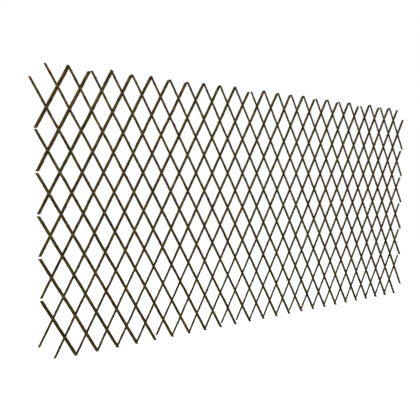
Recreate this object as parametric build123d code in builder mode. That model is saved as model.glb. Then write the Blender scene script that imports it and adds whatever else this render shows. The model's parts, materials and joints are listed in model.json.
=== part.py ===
from build123d import *
import math
import os

# Expandable willow trellis, in millimetres and degrees.
# X runs along the panel, Z up, and the front of the panel faces -Y.
# Rods that fall to the right lie in front, rods that rise to the right lie behind,
# and a nail joins each pair where they cross.
# The origin is the nail in the middle of the root rod, halfway between the two layers.

# Lattice: nodes are counted in half diamonds from the top left corner
node_columns = 50
node_rows = 14
root_column = 24
root_row = 7

# Driving dimensions of the lattice
nail_pitch = 73.7
rest_half_angle = 26.7

# Rods: every rod tapers, the front ones thick end down and the rear ones thick end up
thick_radius = 5.0
thin_radius = 3.7
plain_end = 50.0
layer_gap = 0.5

# Ends: how far a rod end stops before the node where its pair would meet, or runs past it
meeting_trim = 2.0
apart_trim = 8.0
short_trim = 16.0
side_trim = 3.0
pointed_overrun = 2.0
passing_overrun = 5.0
single_overrun = 22.0
apart_top_columns = (5, 23, 41)
pointed_top_columns = (3, 11, 17, 19, 27, 29, 35, 39, 47)
passing_top_columns = (7, 21, 25, 31, 43)
short_bottom_columns = (11, 19, 21, 29, 41)

# Nails: a flat head in front, a shank through both rods and a leg clenched behind
shank_radius = 0.9
head_radius = 2.3
head_thickness = 0.8
head_edge = 0.25
head_seat_gap = 0.05
clench_rise = 0.3
clench_bend_radius = 1.5
clench_leg = 3.2
grip_clearance = 0.01
turning_clearance = 0.08

half_width = nail_pitch * math.sin(math.radians(rest_half_angle))
half_height = nail_pitch * math.cos(math.radians(rest_half_angle))
layer_offset = (thick_radius + thin_radius + layer_gap) / 2
crossing_depth = 2 * (thick_radius + thin_radius) + layer_gap
pattern_length = node_rows * nail_pitch

front_y = -layer_offset
rear_y = layer_offset
downward = -half_height / nail_pitch
sideways = half_width / nail_pitch


def node_x(column):
    return (column - root_column) * half_width


def node_z(row):
    return (root_row - row) * half_height


def front_radius(station):
    """Radius of a front rod at a distance along the pattern from the top row."""
    tapered_length = pattern_length - 2 * plain_end
    share = min(max((station - plain_end) / tapered_length, 0), 1)
    return thin_radius + (thick_radius - thin_radius) * share


def rear_radius(station):
    """A rear rod is as thick as the front one is thin, so both layers stay flat."""
    return thick_radius + thin_radius - front_radius(station)


def end_trim(column, row, in_front):
    """How far a rod end stops before its node; below zero it runs past."""
    if column in (0, node_columns):
        return -single_overrun if row in (1, node_rows - 1) else side_trim
    if row == 0 and column in apart_top_columns:
        return apart_trim
    if row == 0 and column in pointed_top_columns:
        return -pointed_overrun
    if row == 0 and column in passing_top_columns:
        return -passing_overrun
    if row == node_rows and column in short_bottom_columns and not in_front:
        return short_trim
    return meeting_trim


def make_rod(top_node, bottom_node, axis_y, radius_at, hole_radius):
    """One tapered rod between two end nodes, sawn level and drilled at each crossing."""
    top_column, top_row = top_node
    bottom_column, bottom_row = bottom_node
    side = 1 if bottom_column > top_column else -1
    along = Vector(side * sideways, 0, downward)
    pattern_top = Vector(node_x(top_column), axis_y, node_z(top_row)) - along * (top_row * nail_pitch)

    in_front = axis_y < 0
    first_station = top_row * nail_pitch + end_trim(top_column, top_row, in_front)
    last_station = bottom_row * nail_pitch - end_trim(bottom_column, bottom_row, in_front)
    saw_margin = 2 * thick_radius
    start = first_station - saw_margin
    finish = last_station + saw_margin
    bends = [s for s in (plain_end, pattern_length - plain_end) if start < s < finish]
    stations = [start] + bends + [finish]

    # The half profile that is turned lies on the rod's underside, clear of the nail holes
    with BuildPart() as rod:
        with BuildSketch(Plane(origin=pattern_top, x_dir=along, z_dir=(0, side, 0))):
            with BuildLine():
                outline = [(start, 0)] + [(s, radius_at(s)) for s in stations] + [(finish, 0)]
                Polyline(*outline, close=True)
            make_face()
        revolve(axis=Axis(pattern_top, along))
        split(bisect_by=Plane(pattern_top + along * first_station), keep=Keep.BOTTOM)
        split(bisect_by=Plane(pattern_top + along * last_station), keep=Keep.TOP)
        with BuildSketch(Plane.XZ.offset(-axis_y)):
            for row in range(top_row + 1, bottom_row):
                nail_point = pattern_top + along * (row * nail_pitch)
                with Locations((nail_point.X, nail_point.Z)):
                    Circle(hole_radius)
        extrude(amount=saw_margin, both=True, mode=Mode.SUBTRACT)
    return rod.part


# One nail, with the underside of its head at the origin and its shank along +Y
with BuildPart() as nail:
    shank_end = crossing_depth + head_seat_gap + clench_rise
    with BuildSketch(Plane.XZ):
        Circle(head_radius)
    extrude(amount=head_thickness)
    chamfer(nail.edges().group_by(Axis.Y)[0], head_edge)
    with BuildLine() as clench:
        Line((0, 0, 0), (0, shank_end, 0))
        bend_end = (0, shank_end + clench_bend_radius, -clench_bend_radius)
        TangentArc((0, shank_end, 0), bend_end, tangent=(0, 1, 0))
        Line(bend_end, (0, shank_end + clench_bend_radius, -clench_bend_radius - clench_leg))
    with BuildSketch(Plane.XZ):
        Circle(shank_radius)
    sweep(path=clench.line)


def place_nail(column, row):
    """A copy of the nail at a crossing, its leg lying along the front rod."""
    head_y = front_y - front_radius(row * nail_pitch) - head_seat_gap
    place = Location((node_x(column), head_y, node_z(row)), (0, -rest_half_angle, 0))
    return nail.part.moved(place)


os.makedirs("parts", exist_ok=True)

# Front rods from left to right; each carries the nails at its crossings
first_diagonal = 3 - node_rows
for index in range((node_columns + node_rows) // 2 - 2):
    diagonal = first_diagonal + 2 * index
    top_row = max(0, -diagonal)
    bottom_row = min(node_rows, node_columns - diagonal)
    rod = make_rod(
        (diagonal + top_row, top_row),
        (diagonal + bottom_row, bottom_row),
        front_y,
        front_radius,
        shank_radius + grip_clearance,
    )
    rod.label = "rod"
    pieces = [rod]
    for row in range(top_row + 1, bottom_row):
        fastener = place_nail(diagonal + row, row)
        fastener.label = f"nail_{row}"
        pieces.append(fastener)
    name = f"front_rod_{index + 1:02d}"
    export_step(Compound(label=name, children=pieces), f"parts/{name}.step")

# Rear rods from left to right
for index in range((node_columns + node_rows) // 2 - 2):
    diagonal = 3 + 2 * index
    top_row = max(0, diagonal - node_columns)
    bottom_row = min(node_rows, diagonal)
    rod = make_rod(
        (diagonal - top_row, top_row),
        (diagonal - bottom_row, bottom_row),
        rear_y,
        rear_radius,
        shank_radius + turning_clearance,
    )
    name = f"rear_rod_{index + 1:02d}"
    rod.label = name
    export_step(rod, f"parts/{name}.step")
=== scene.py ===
import json
import math
import random
import bpy
import numpy as np
from mathutils import Matrix, Vector


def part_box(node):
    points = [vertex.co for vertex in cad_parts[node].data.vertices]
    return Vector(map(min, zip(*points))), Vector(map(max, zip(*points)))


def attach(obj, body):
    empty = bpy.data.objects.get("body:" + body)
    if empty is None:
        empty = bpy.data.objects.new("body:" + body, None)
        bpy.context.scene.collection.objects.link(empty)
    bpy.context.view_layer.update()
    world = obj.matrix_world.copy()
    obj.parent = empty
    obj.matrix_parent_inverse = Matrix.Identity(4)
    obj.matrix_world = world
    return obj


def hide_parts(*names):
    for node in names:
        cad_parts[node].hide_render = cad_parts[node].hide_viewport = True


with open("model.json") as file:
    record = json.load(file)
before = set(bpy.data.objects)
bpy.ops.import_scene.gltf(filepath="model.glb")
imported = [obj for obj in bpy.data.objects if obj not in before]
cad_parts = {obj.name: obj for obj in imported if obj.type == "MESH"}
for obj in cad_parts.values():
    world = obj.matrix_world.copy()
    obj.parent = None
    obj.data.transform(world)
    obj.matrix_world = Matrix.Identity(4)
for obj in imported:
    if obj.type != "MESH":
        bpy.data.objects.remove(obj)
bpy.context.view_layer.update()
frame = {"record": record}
random.seed(41)

# The lattice, in metres: nodes are counted in half diamonds from the top left corner,
# and a rod's diagonal is the column where its line meets the top row
NODE_COLUMNS = 50
NODE_ROWS = 14
ROOT_COLUMN = 24
ROOT_ROW = 7
FIRST_DIAGONAL = 3
ROD_COUNT = (NODE_COLUMNS + NODE_ROWS) // 2 - 2
NAIL_PITCH = 0.0737
LEAN = math.radians(26.7)
THICK_RADIUS = 0.0050
THIN_RADIUS = 0.0037
PLAIN_END = 0.050
LAYER_GAP = 0.0005
LAYER_OFFSET = (THICK_RADIUS + THIN_RADIUS + LAYER_GAP) / 2
CROSSING_DEPTH = 2 * (THICK_RADIUS + THIN_RADIUS) + LAYER_GAP
PATTERN_LENGTH = NODE_ROWS * NAIL_PITCH
HALF_WIDTH = NAIL_PITCH * math.sin(LEAN)
HALF_HEIGHT = NAIL_PITCH * math.cos(LEAN)

# How thick the rods are with their bark on, as shares of the solid rods' thickness.
# The photographed rods are thicker at the panel's left end than at its right end.
LEFT_BARK_SHARE = 1.025
RIGHT_BARK_SHARE = 0.95
BARK_SHARE_SPREAD = 0.015

# How far from straight and smooth the rods grow
ROD_SIDES = 16
RINGS_PER_PITCH = 15
STATION_DIGITS = 5
SIDE_CROOK = 0.0034
DEPTH_CROOK = 0.0009
CROOK_LENGTH = 0.085
TIP_CROOK_GROWTH = 1.2
LUMP_HEIGHT = 0.00055
LUMP_LENGTH = 0.010
BARK_SMOOTHING = math.radians(38)

# The clouds that bend the rods are taken at another place for each rod and each direction
CLOUD_DEPTH = 2
CLOUD_ROOM = 9
CLOUD_STEP = 1

# Knots and their buds
KNOT_SWELL = 0.00035
KNOT_HALF_LENGTH = 0.0045
BUD_SPACING = 0.034
FIRST_BUD_SHARE = 0.6
BUD_SPACING_SHARES = (0.75, 1.25)
BUD_TURN = 0.7
BUD_RIM = 0.0003
BUD_TAPER = 0.0006
BUD_HEIGHT = 0.0008
BUD_REACH = 0.0011
NAIL_ROOM = 0.012
END_ROOM = 0.018

# Sawn ends
SAW_MARGIN = 0.006
BARK_RIM = 0.0004
PITH_RADIUS = 0.0008

# Nails
SHANK_RADIUS = 0.0009
NAIL_SIDES = 8
HEAD_RADIUS = 0.0023
HEAD_THICKNESS = 0.0008
HEAD_EDGE = 0.0003
HEAD_SEAT_GAP = 0.00005
CLENCH_RISE = 0.0003
CLENCH_BEND_RADIUS = 0.0015
CLENCH_BEND_STEPS = 3
CLENCH_LEG = 0.0032
POINT_SHARE = 0.5
NAIL_TURN = 0.35
NAIL_SMOOTHING = math.radians(50)

# How far along an axis a face's unit normal reaches, at least, where the face looks that way
FACING = 0.95

# Bark: three tones of willow from dark to light, and how its patterns are drawn and mixed
BARK_TONES = {
    "willow_brown": ((0.0055, 0.0036, 0.0004), (0.0285, 0.0195, 0.0020), (0.115, 0.080, 0.0095)),
    "willow_olive": ((0.0050, 0.0043, 0.0004), (0.0250, 0.0212, 0.0020), (0.100, 0.085, 0.0092)),
    "willow_russet": ((0.0062, 0.0035, 0.0004), (0.0325, 0.0190, 0.0023), (0.126, 0.078, 0.0100)),
}
TONE_STOPS = (0.36, 0.50, 0.66)
BARK_STRETCH = 0.09
WRINKLE_SHARE = 0.45
BLOTCH_SHARE = 0.55
WARM_SHARES = (1.30, 0.95, 0.85)
WARM_AMOUNT = 0.55
PORE_SCALE = 330.0
PORE_EDGE = 0.17
PORE_CORE = 0.10
PORE_GAIN = 3.2
PORE_LIFT = 0.012
PORE_AMOUNT = 0.55
PORE_HEIGHT_SHARE = 0.35
RUBBED_WOOD = (0.20, 0.135, 0.065)
RUBBED_AMOUNT = 0.6
BARK_SHINE = 0.06
BARK_RELIEF = 0.0005

# Sawn wood, from pale to dark
SAWN_WOOD = ((0.34, 0.25, 0.14), (0.17, 0.115, 0.058))
SAWN_PITH = ((0.12, 0.075, 0.035), (0.06, 0.036, 0.016))
SAW_MARK_STRETCH = 0.15
SAW_MARK_RELIEF = 0.0002

# Nail wire, bare and rusted
BARE_WIRE = (0.080, 0.068, 0.031)
RUSTED_WIRE = (0.046, 0.035, 0.014)
WIRE_METAL = 0.25
WIRE_SHINE = 0.2
RUST_RELIEF = 0.0001

# Camera
IMAGE_SIZE = 420
FOCAL_PIXELS = 361.0
SENSOR = 36.0
CAMERA_PLACE = Vector((-0.8017, -1.2228, 0.0809))
CAMERA_TURN = math.radians(25.90)
CAMERA_DIP = math.radians(3.51)
CAMERA_ROLL = math.radians(0.33)

# Stage: each lamp has a place, a size and its watts, and shines at the middle of the panel
FLOOR_Z = -0.80
FLOOR_SIZE = 12.0
FLOOR_GREY = (0.25, 0.25, 0.25, 1)
FLOOR_ROUGHNESS = 0.9
FLOOR_GLOW = 0.88
WHITE = (1, 1, 1, 1)
ROOM_LIGHT = 0.22
LAMPS = {
    "key": ((-2.2, -3.2, 2.5), 1.6, 250),
    "fill": ((2.4, -2.2, 0.9), 1.8, 40),
    "back": ((0.6, 2.6, 1.4), 1.8, 100),
}


def add_node(tree, kind, **values):
    """A shader node with its properties and its unlinked sockets set by name."""
    node = tree.nodes.new(kind)
    for key, value in values.items():
        if hasattr(node, key):
            setattr(node, key, value)
        else:
            node.inputs[key.replace("_", " ")].default_value = value
    return node


def set_ramp(node, stops, colours):
    """The positions and colours of a colour ramp's stops."""
    ramp = node.color_ramp
    while len(ramp.elements) < len(stops):
        ramp.elements.new(1.0)
    for element, position, colour in zip(ramp.elements, stops, colours):
        element.position = position
        element.color = (*colour, 1)


def mix_colour(tree, factor, first, second):
    """A colour mix; each input is a socket or a colour."""
    node = tree.nodes.new("ShaderNodeMix")
    node.data_type = "RGBA"
    for socket, value in ((node.inputs[0], factor), (node.inputs[6], first), (node.inputs[7], second)):
        if isinstance(value, bpy.types.NodeSocket):
            tree.links.new(value, socket)
        else:
            socket.default_value = (*value, 1) if isinstance(value, tuple) else value
    return node.outputs[2]


def map_range(tree, value, low, high, to_low=0.0, to_high=1.0):
    """A value moved from one range to another, and held inside it."""
    node = tree.nodes.new("ShaderNodeMapRange")
    tree.links.new(value, node.inputs["Value"])
    for name, number in (("From Min", low), ("From Max", high), ("To Min", to_low), ("To Max", to_high)):
        node.inputs[name].default_value = number
    return node.outputs["Result"]


def noise(tree, vector, scale, detail, rough):
    """A cloudy pattern from 0 to 1."""
    node = add_node(tree, "ShaderNodeTexNoise", Scale=scale, Detail=detail, Roughness=rough)
    tree.links.new(vector, node.inputs["Vector"])
    return node.outputs["Fac"]


def math_node(tree, operation, first, second):
    """The sum, the product or the larger of two values; each is a socket or a number."""
    node = tree.nodes.new("ShaderNodeMath")
    node.operation = operation
    for socket, value in zip(node.inputs, (first, second)):
        if isinstance(value, bpy.types.NodeSocket):
            tree.links.new(value, socket)
        else:
            socket.default_value = value
    return node.outputs[0]


def add_relief(tree, shader, height, strength, distance):
    """Raises the surface where a pattern is high."""
    bump = add_node(tree, "ShaderNodeBump", Strength=strength, Distance=distance)
    tree.links.new(height, bump.inputs["Height"])
    tree.links.new(bump.outputs["Normal"], shader.inputs["Normal"])


def new_material(name):
    """A material with its node tree and its shader."""
    material = bpy.data.materials.new(name)
    material.use_nodes = True
    return material, material.node_tree, material.node_tree.nodes["Principled BSDF"]


def along_rod(tree, turn):
    """Object coordinates turned so that Z runs along the rods, and the same drawn out along them."""
    place = tree.nodes.new("ShaderNodeTexCoord")
    turned = add_node(tree, "ShaderNodeMapping", Rotation=(0, turn, 0))
    drawn = add_node(tree, "ShaderNodeMapping", Scale=(1, 1, BARK_STRETCH))
    tree.links.new(place.outputs["Object"], turned.inputs["Vector"])
    tree.links.new(turned.outputs["Vector"], drawn.inputs["Vector"])
    return turned.outputs["Vector"], drawn.outputs["Vector"]


def bark_material(name, turn, dark, middle, light):
    """Dried willow bark: drawn-out wrinkles, blotches, pale pores and rubbed patches."""
    material, tree, shader = new_material(name)
    even, drawn = along_rod(tree, turn)

    # Wrinkles and blotches, in three tones
    wrinkles = noise(tree, drawn, scale=1100, detail=5, rough=0.65)
    blotches = noise(tree, even, scale=34, detail=4, rough=0.55)
    wrinkle_tone = math_node(tree, "MULTIPLY", wrinkles, WRINKLE_SHARE)
    blotch_tone = math_node(tree, "MULTIPLY", blotches, BLOTCH_SHARE)
    ramp = tree.nodes.new("ShaderNodeValToRGB")
    set_ramp(ramp, TONE_STOPS, (dark, middle, light))
    tree.links.new(math_node(tree, "ADD", wrinkle_tone, blotch_tone), ramp.inputs["Fac"])

    # Wide stretches of a warmer tint
    tint = noise(tree, even, scale=7, detail=2, rough=0.5)
    warm = tuple(c * k for c, k in zip(middle, WARM_SHARES))
    warmth = map_range(tree, tint, low=0.45, high=0.62, to_high=WARM_AMOUNT)
    tinted = mix_colour(tree, warmth, ramp.outputs["Color"], warm)

    # Pale pores
    pores = add_node(tree, "ShaderNodeTexVoronoi", Scale=PORE_SCALE)
    tree.links.new(even, pores.inputs["Vector"])
    pore_mask = map_range(tree, pores.outputs["Distance"], low=PORE_EDGE, high=PORE_CORE)
    pale = tuple(min(1, c * PORE_GAIN + PORE_LIFT) for c in light)
    with_pores = mix_colour(tree, math_node(tree, "MULTIPLY", pore_mask, PORE_AMOUNT), tinted, pale)

    # Patches where the bark is rubbed down to the wood
    patches = noise(tree, even, scale=95, detail=6, rough=0.7)
    rubbed = map_range(tree, patches, low=0.665, high=0.70)
    worn = mix_colour(tree, math_node(tree, "MULTIPLY", rubbed, RUBBED_AMOUNT), with_pores, RUBBED_WOOD)
    tree.links.new(worn, shader.inputs["Base Color"])

    roughness = map_range(tree, wrinkles, low=0.3, high=0.7, to_low=0.9, to_high=0.62)
    tree.links.new(roughness, shader.inputs["Roughness"])
    shader.inputs["Specular IOR Level"].default_value = BARK_SHINE
    pore_height = math_node(tree, "MULTIPLY", pore_mask, PORE_HEIGHT_SHARE)
    height = math_node(tree, "ADD", wrinkles, pore_height)
    add_relief(tree, shader, height, strength=0.55, distance=BARK_RELIEF)
    return material


def sawn_material(name, pale, dark):
    """The sawn end of a rod: dried wood with saw marks across it."""
    material, tree, shader = new_material(name)
    place = tree.nodes.new("ShaderNodeTexCoord")
    marks = add_node(tree, "ShaderNodeMapping", Scale=(SAW_MARK_STRETCH, 1, 1))
    tree.links.new(place.outputs["Object"], marks.inputs["Vector"])
    grain = noise(tree, marks.outputs["Vector"], scale=2200, detail=3, rough=0.6)
    tree.links.new(mix_colour(tree, grain, dark, pale), shader.inputs["Base Color"])
    roughness = map_range(tree, grain, low=0.3, high=0.7, to_low=0.9, to_high=0.7)
    tree.links.new(roughness, shader.inputs["Roughness"])
    add_relief(tree, shader, grain, strength=0.4, distance=SAW_MARK_RELIEF)
    return material


def nail_material(name):
    """Dull wire, brown with rust."""
    material, tree, shader = new_material(name)
    place = tree.nodes.new("ShaderNodeTexCoord")
    rust = noise(tree, place.outputs["Object"], scale=900, detail=4, rough=0.6)
    rusted = map_range(tree, rust, low=0.45, high=0.62)
    tree.links.new(mix_colour(tree, rusted, BARE_WIRE, RUSTED_WIRE), shader.inputs["Base Color"])
    roughness = map_range(tree, rust, low=0.4, high=0.65, to_low=0.55, to_high=0.85)
    tree.links.new(roughness, shader.inputs["Roughness"])
    shader.inputs["Metallic"].default_value = WIRE_METAL
    shader.inputs["Specular IOR Level"].default_value = WIRE_SHINE
    add_relief(tree, shader, rust, strength=0.2, distance=RUST_RELIEF)
    return material


# Materials: the bark's wrinkles run one way on the front rods and the other way on the rear ones
barks = {}
for slot, tones in BARK_TONES.items():
    for layer, turn in (("front", LEAN), ("rear", -LEAN)):
        barks[slot, layer] = bark_material(f"{slot}_{layer}", turn, *tones)
cut_wood = sawn_material("sawn_willow", *SAWN_WOOD)
pith = sawn_material("pith", *SAWN_PITH)
nail_steel = nail_material("nail_steel")
slot_of = {s["node"]: s["material_slot"] for s in frame["record"]["subparts"]}


def node_point(column, row, y):
    """A lattice node in the object's frame."""
    return Vector(((column - ROOT_COLUMN) * HALF_WIDTH, y, (ROOT_ROW - row) * HALF_HEIGHT))


def front_radius(station):
    """Radius of a front rod at a distance along the pattern from the top row."""
    share = (station - PLAIN_END) / (PATTERN_LENGTH - 2 * PLAIN_END)
    return THIN_RADIUS + (THICK_RADIUS - THIN_RADIUS) * min(max(share, 0), 1)


def rear_radius(station):
    """A rear rod is as thick as the front one is thin."""
    return THICK_RADIUS + THIN_RADIUS - front_radius(station)


def edit_where(piece, kind, test):
    """Enters edit mode with the vertices, edges or polygons selected that pass a test."""
    mesh = piece.data
    for group in (mesh.vertices, mesh.edges, mesh.polygons):
        group.foreach_set("select", [False] * len(group))
    for item in getattr(mesh, kind):
        item.select = test(item)
    kinds = ("vertices", "edges", "polygons")
    bpy.context.tool_settings.mesh_select_mode = [kind == k for k in kinds]
    bpy.ops.object.mode_set(mode="EDIT")


def edit_done():
    """Leaves edit mode."""
    bpy.ops.object.mode_set(mode="OBJECT")


def set_modifier(piece, kind, **settings):
    """Adds a modifier and applies it."""
    modifier = piece.modifiers.new(kind.title(), kind)
    for key, value in settings.items():
        setattr(modifier, key, value)
    bpy.ops.object.modifier_apply(modifier=modifier.name)


def cloud_texture(name, size):
    """A cloudy pattern that moves the rods' surface."""
    texture = bpy.data.textures.new(name, "CLOUDS")
    texture.noise_scale = size
    texture.noise_depth = CLOUD_DEPTH
    return texture


crook_clouds = cloud_texture("crook", CROOK_LENGTH)
lump_clouds = cloud_texture("lumps", LUMP_LENGTH)
bpy.ops.object.empty_add(location=(0, 0, 0))
noise_place = bpy.context.object
noise_place.name = "noise_place"


class Course:
    """Where one rod runs through the lattice. Stations are distances along it from the top row."""

    def __init__(self, node, top_node, bottom_node, axis_y, radius_at):
        top_column, self.top_row = top_node
        bottom_column, self.bottom_row = bottom_node
        self.radius_at = radius_at
        self.side = 1 if bottom_column > top_column else -1
        self.across_share = (top_column + bottom_column) / (2 * NODE_COLUMNS)
        self.along = Vector((self.side * math.sin(LEAN), 0, -math.cos(LEAN)))
        top_point = node_point(top_column, self.top_row, axis_y)
        self.pattern_top = top_point - self.along * (self.top_row * NAIL_PITCH)
        low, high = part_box(node)
        self.low_z = low[2]
        self.high_z = high[2]
        self.first = (self.pattern_top.z - self.high_z) / math.cos(LEAN) - SAW_MARGIN
        self.last = (self.pattern_top.z - self.low_z) / math.cos(LEAN) + SAW_MARGIN

    def point(self, station):
        """The point on the rod's axis at a station."""
        return self.pattern_top + self.along * station

    def station(self, point):
        """The station that lies beside a point."""
        return (point - self.pattern_top).dot(self.along)


def straight_stick(name, course):
    """A straight tapered stick, a little longer than the rod at both ends, with rings all along it."""
    bark_share = LEFT_BARK_SHARE + (RIGHT_BARK_SHARE - LEFT_BARK_SHARE) * course.across_share
    bark_share += random.uniform(-BARK_SHARE_SPREAD, BARK_SHARE_SPREAD)
    length = course.last - course.first
    bpy.ops.object.select_all(action="DESELECT")
    bpy.ops.mesh.primitive_cone_add(
        vertices=ROD_SIDES,
        radius1=course.radius_at(course.last) * bark_share,
        radius2=course.radius_at(course.first) * bark_share,
        depth=length,
        location=course.point(course.first + length / 2),
        rotation=(0, -course.side * LEAN, 0),
    )
    stick = bpy.context.object
    stick.name = name
    bpy.ops.object.transform_apply(location=True, rotation=True, scale=True)

    def runs_along(edge):
        a, b = (stick.data.vertices[i].co for i in edge.vertices)
        return abs((a - b).dot(course.along)) > THICK_RADIUS

    for cuts in (course.bottom_row - course.top_row, RINGS_PER_PITCH - 1):
        edit_where(stick, "edges", runs_along)
        bpy.ops.mesh.subdivide(number_cuts=cuts)
        edit_done()
    return stick


def knot_stations(course):
    """Knots along a rod, unevenly spaced and clear of the nails and the ends."""
    found = []
    station = course.first + END_ROOM + BUD_SPACING * random.uniform(0, FIRST_BUD_SHARE)
    while station < course.last - END_ROOM:
        to_nail = abs(station / NAIL_PITCH - round(station / NAIL_PITCH)) * NAIL_PITCH
        if to_nail > NAIL_ROOM:
            found.append(station)
        station += BUD_SPACING * random.uniform(*BUD_SPACING_SHARES)
    return found


def weigh(rod, course, name, weight_at):
    """A vertex group with one weight for each ring of the rod."""
    rings = {}
    for vertex in rod.data.vertices:
        rings.setdefault(round(course.station(vertex.co), STATION_DIGITS), []).append(vertex.index)
    group = rod.vertex_groups.new(name=name)
    for station, members in rings.items():
        group.add(members, weight_at(station), "REPLACE")
    return name


def grow_crooked(rod, course, knots):
    """Makes the rod crooked between its nails but true through each of them, with lumps and knots."""

    def crook_weight(station):
        if station < (course.top_row + 1) * NAIL_PITCH:
            return min(1.0, TIP_CROOK_GROWTH * (course.top_row + 1 - station / NAIL_PITCH))
        if station > (course.bottom_row - 1) * NAIL_PITCH:
            return min(1.0, TIP_CROOK_GROWTH * (station / NAIL_PITCH - course.bottom_row + 1))
        return abs(math.sin(math.pi * station / NAIL_PITCH))

    def knot_weight(station):
        return max(math.exp(-(((station - k) / KNOT_HALF_LENGTH) ** 2)) for k in knots)

    crook = weigh(rod, course, "crook", crook_weight)
    swell = weigh(rod, course, "knots", knot_weight)
    clouds = dict(texture_coords="OBJECT", texture_coords_object=noise_place, mid_level=0.5)
    bend = dict(texture=crook_clouds, vertex_group=crook, **clouds)
    noise_place.location = [random.uniform(-CLOUD_ROOM, CLOUD_ROOM) for _ in range(3)]
    bpy.context.view_layer.update()
    set_modifier(rod, "DISPLACE", direction="X", strength=SIDE_CROOK, **bend)
    noise_place.location.x += CLOUD_STEP
    bpy.context.view_layer.update()
    set_modifier(rod, "DISPLACE", direction="Y", strength=DEPTH_CROOK, **bend)
    set_modifier(rod, "DISPLACE", texture=lump_clouds, direction="NORMAL", strength=LUMP_HEIGHT, **clouds)
    set_modifier(rod, "DISPLACE", direction="NORMAL", strength=KNOT_SWELL, mid_level=0, vertex_group=swell)
    rod.vertex_groups.clear()


def add_buds(rod, course, knots):
    """Draws a bud out of the bark at each knot, on alternate sides of the rod."""
    middles = np.empty(3 * len(rod.data.polygons))
    rod.data.polygons.foreach_get("center", middles)
    middles = middles.reshape(-1, 3)
    chosen = set()
    for count, knot in enumerate(knots):
        turn = math.pi * (count % 2) + random.uniform(-BUD_TURN, BUD_TURN)
        outward = math.cos(turn)
        out = Vector((outward * math.cos(LEAN), math.sin(turn), outward * course.side * math.sin(LEAN)))
        target = course.point(knot) + out * course.radius_at(knot)
        chosen.add(int(((middles - np.array(target)) ** 2).sum(axis=1).argmin()))
    edit_where(rod, "polygons", lambda face: face.index in chosen)
    bpy.ops.mesh.inset(thickness=BUD_RIM, use_individual=True)
    bpy.ops.mesh.inset(thickness=BUD_TAPER, depth=BUD_HEIGHT, use_individual=True)
    bpy.ops.transform.translate(value=-course.along * BUD_REACH)
    edit_done()


def saw_ends(rod, course):
    """Saws both ends level, as far apart as on the solid rod, and draws the wood and the pith on them."""
    edit_where(rod, "polygons", lambda face: True)
    for cut_z, outward in ((course.high_z, 1), (course.low_z, -1)):
        bpy.ops.mesh.select_all(action="SELECT")
        bpy.ops.mesh.bisect(
            plane_co=(0, 0, cut_z), plane_no=(0, 0, outward), clear_outer=True, use_fill=True,
        )
    edit_done()

    def is_sawn(face):
        to_cut = min(abs(face.center.z - course.high_z), abs(face.center.z - course.low_z))
        return abs(face.normal.z) > FACING and to_cut < BARK_RIM

    edit_where(rod, "polygons", is_sawn)
    for material, inset in ((cut_wood, BARK_RIM), (pith, THIN_RADIUS - BARK_RIM - PITH_RADIUS)):
        bpy.ops.mesh.inset(thickness=inset, use_individual=True, use_even_offset=False)
        rod.data.materials.append(material)
        rod.active_material_index = len(rod.data.materials) - 1
        bpy.ops.object.material_slot_assign()
    edit_done()


def willow_rod(node, course, bark):
    """One crooked, knotty rod with its bark on."""
    rod = straight_stick(f"willow_{node}", course)
    knots = knot_stations(course)
    grow_crooked(rod, course, knots)
    add_buds(rod, course, knots)
    rod.data.materials.append(bark)
    saw_ends(rod, course)
    bpy.ops.object.shade_smooth_by_angle(angle=BARK_SMOOTHING)
    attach(rod, node)
    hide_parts(node)


def make_nail():
    """A wire nail along +Y, the underside of its head at the origin, its point bent over downwards."""
    bpy.ops.object.select_all(action="DESELECT")
    bpy.ops.mesh.primitive_cylinder_add(
        vertices=NAIL_SIDES, radius=HEAD_RADIUS, depth=HEAD_THICKNESS,
        location=(0, -HEAD_THICKNESS / 2, 0), rotation=(math.pi / 2, 0, 0),
    )
    nail = bpy.context.object
    nail.name = "nail"
    bpy.ops.object.transform_apply(location=True, rotation=True, scale=True)

    # The head's front edge is bevelled
    edit_where(nail, "polygons", lambda face: face.normal.y < -FACING)
    bpy.ops.mesh.inset(thickness=HEAD_EDGE, depth=HEAD_EDGE)
    edit_done()

    # The shank is drawn out of the head's back, bent over, and narrows to its point
    shank_end = CROSSING_DEPTH + HEAD_SEAT_GAP + CLENCH_RISE
    edit_where(nail, "polygons", lambda face: face.normal.y > FACING)
    bpy.ops.mesh.inset(thickness=(HEAD_RADIUS - SHANK_RADIUS) * math.cos(math.pi / NAIL_SIDES))
    bpy.ops.mesh.extrude_region_move(TRANSFORM_OT_translate={"value": (0, shank_end, 0)})
    bpy.ops.mesh.spin(
        steps=CLENCH_BEND_STEPS, angle=math.pi / 2,
        center=(0, shank_end, -CLENCH_BEND_RADIUS), axis=(1, 0, 0),
    )
    bpy.ops.mesh.extrude_region_move(TRANSFORM_OT_translate={"value": (0, 0, -CLENCH_LEG)})
    bpy.ops.transform.resize(
        value=(POINT_SHARE, POINT_SHARE, 1), center_override=(0, shank_end + CLENCH_BEND_RADIUS, 0),
    )
    edit_done()
    bpy.ops.object.shade_smooth_by_angle(angle=NAIL_SMOOTHING)
    nail.data.materials.append(nail_steel)
    return nail


def nail_row(node, nail, diagonal, top_row, bottom_row):
    """The nails of one front rod, copies of one nail joined into one piece."""
    copies = []
    for row in range(top_row + 1, bottom_row):
        copy = nail.copy()
        copy.data = nail.data.copy()
        bpy.context.collection.objects.link(copy)
        head_y = -LAYER_OFFSET - front_radius(row * NAIL_PITCH) - HEAD_SEAT_GAP
        place = Matrix.Translation(node_point(diagonal + row, row, head_y))
        turn = Matrix.Rotation(-LEAN + random.uniform(-NAIL_TURN, NAIL_TURN), 4, "Y")
        copy.data.transform(place @ turn)
        copies.append(copy)
    bpy.ops.object.select_all(action="DESELECT")
    for copy in copies:
        copy.select_set(True)
    bpy.context.view_layer.objects.active = copies[0]
    bpy.ops.object.join()
    nails = bpy.context.object
    nails.name = f"nails_{node}"
    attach(nails, node)
    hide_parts(node)


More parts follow.
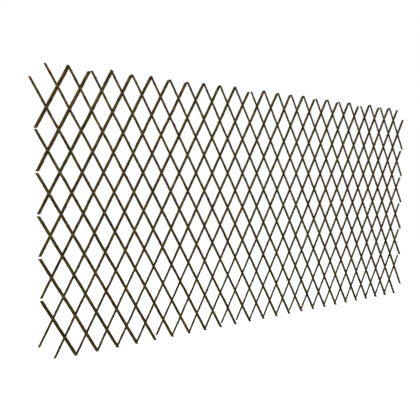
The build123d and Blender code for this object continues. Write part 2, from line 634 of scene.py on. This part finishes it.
# Front rods from left to right, each with its nails
nail = make_nail()
for index in range(ROD_COUNT):
    node = f"front_rod_{index + 1:02d}"
    diagonal = FIRST_DIAGONAL - NODE_ROWS + 2 * index
    top_row = max(0, -diagonal)
    bottom_row = min(NODE_ROWS, NODE_COLUMNS - diagonal)
    ends = (diagonal + top_row, top_row), (diagonal + bottom_row, bottom_row)
    willow_rod(node, Course(node, *ends, -LAYER_OFFSET, front_radius), barks[slot_of[node], "front"])
    nail_row(node, nail, diagonal, top_row, bottom_row)

# Rear rods from left to right
for index in range(ROD_COUNT):
    node = f"rear_rod_{index + 1:02d}"
    diagonal = FIRST_DIAGONAL + 2 * index
    top_row = max(0, diagonal - NODE_COLUMNS)
    bottom_row = min(NODE_ROWS, diagonal)
    ends = (diagonal - top_row, top_row), (diagonal - bottom_row, bottom_row)
    willow_rod(node, Course(node, *ends, LAYER_OFFSET, rear_radius), barks[slot_of[node], "rear"])
bpy.data.objects.remove(nail)
bpy.data.objects.remove(noise_place)


def seen_directly(tree):
    """One for the camera's rays and what metal and glass show, zero for the rays that light things."""
    path = tree.nodes.new("ShaderNodeLightPath")
    seen = math_node(tree, "MAXIMUM", path.outputs["Is Camera Ray"], path.outputs["Is Glossy Ray"])
    return math_node(tree, "MAXIMUM", seen, path.outputs["Is Transmission Ray"])


def pale_floor():
    """A grey floor that looks white."""
    bpy.ops.object.select_all(action="DESELECT")
    bpy.ops.mesh.primitive_plane_add(size=FLOOR_SIZE, location=(0, 0, FLOOR_Z))
    floor = bpy.context.object
    floor.name = "floor"
    material, tree, shader = new_material("pale_floor")
    shader.inputs["Base Color"].default_value = FLOOR_GREY
    shader.inputs["Roughness"].default_value = FLOOR_ROUGHNESS
    glow = add_node(tree, "ShaderNodeEmission", Strength=FLOOR_GLOW)
    both = tree.nodes.new("ShaderNodeAddShader")
    tree.links.new(shader.outputs["BSDF"], both.inputs[0])
    tree.links.new(glow.outputs["Emission"], both.inputs[1])
    mix = tree.nodes.new("ShaderNodeMixShader")
    tree.links.new(seen_directly(tree), mix.inputs["Fac"])
    tree.links.new(shader.outputs["BSDF"], mix.inputs[1])
    tree.links.new(both.outputs["Shader"], mix.inputs[2])
    tree.links.new(mix.outputs["Shader"], tree.nodes["Material Output"].inputs["Surface"])
    floor.data.materials.append(material)


def white_world():
    """A dimly lit room that looks white."""
    world = bpy.data.worlds.new("studio")
    world.use_nodes = True
    tree = world.node_tree
    light = tree.nodes["Background"]
    light.inputs["Color"].default_value = WHITE
    light.inputs["Strength"].default_value = ROOM_LIGHT
    white = add_node(tree, "ShaderNodeBackground", Color=WHITE, Strength=1.0)
    mix = tree.nodes.new("ShaderNodeMixShader")
    tree.links.new(seen_directly(tree), mix.inputs["Fac"])
    tree.links.new(light.outputs["Background"], mix.inputs[1])
    tree.links.new(white.outputs["Background"], mix.inputs[2])
    tree.links.new(mix.outputs["Shader"], tree.nodes["World Output"].inputs["Surface"])
    bpy.context.scene.world = world


def soft_lamp(name, place, size, watts):
    """A square lamp that shines at the middle of the panel."""
    bpy.ops.object.light_add(type="AREA", location=place)
    lamp = bpy.context.object
    lamp.name = name
    lamp.data.size = size
    lamp.data.energy = watts
    lamp.rotation_euler = (-Vector(place)).to_track_quat("-Z", "Y").to_euler()


def add_camera():
    """The photograph's camera."""
    bpy.ops.object.camera_add(location=CAMERA_PLACE)
    camera = bpy.context.object
    camera.name = "photo_camera"
    camera.data.sensor_width = SENSOR
    camera.data.lens = FOCAL_PIXELS / IMAGE_SIZE * SENSOR
    camera.rotation_euler = (math.pi / 2 - CAMERA_DIP, CAMERA_ROLL, -CAMERA_TURN)
    bpy.context.scene.camera = camera


pale_floor()
white_world()
for name, settings in LAMPS.items():
    soft_lamp(name, *settings)
add_camera()
bpy.context.scene.view_settings.view_transform = "Standard"
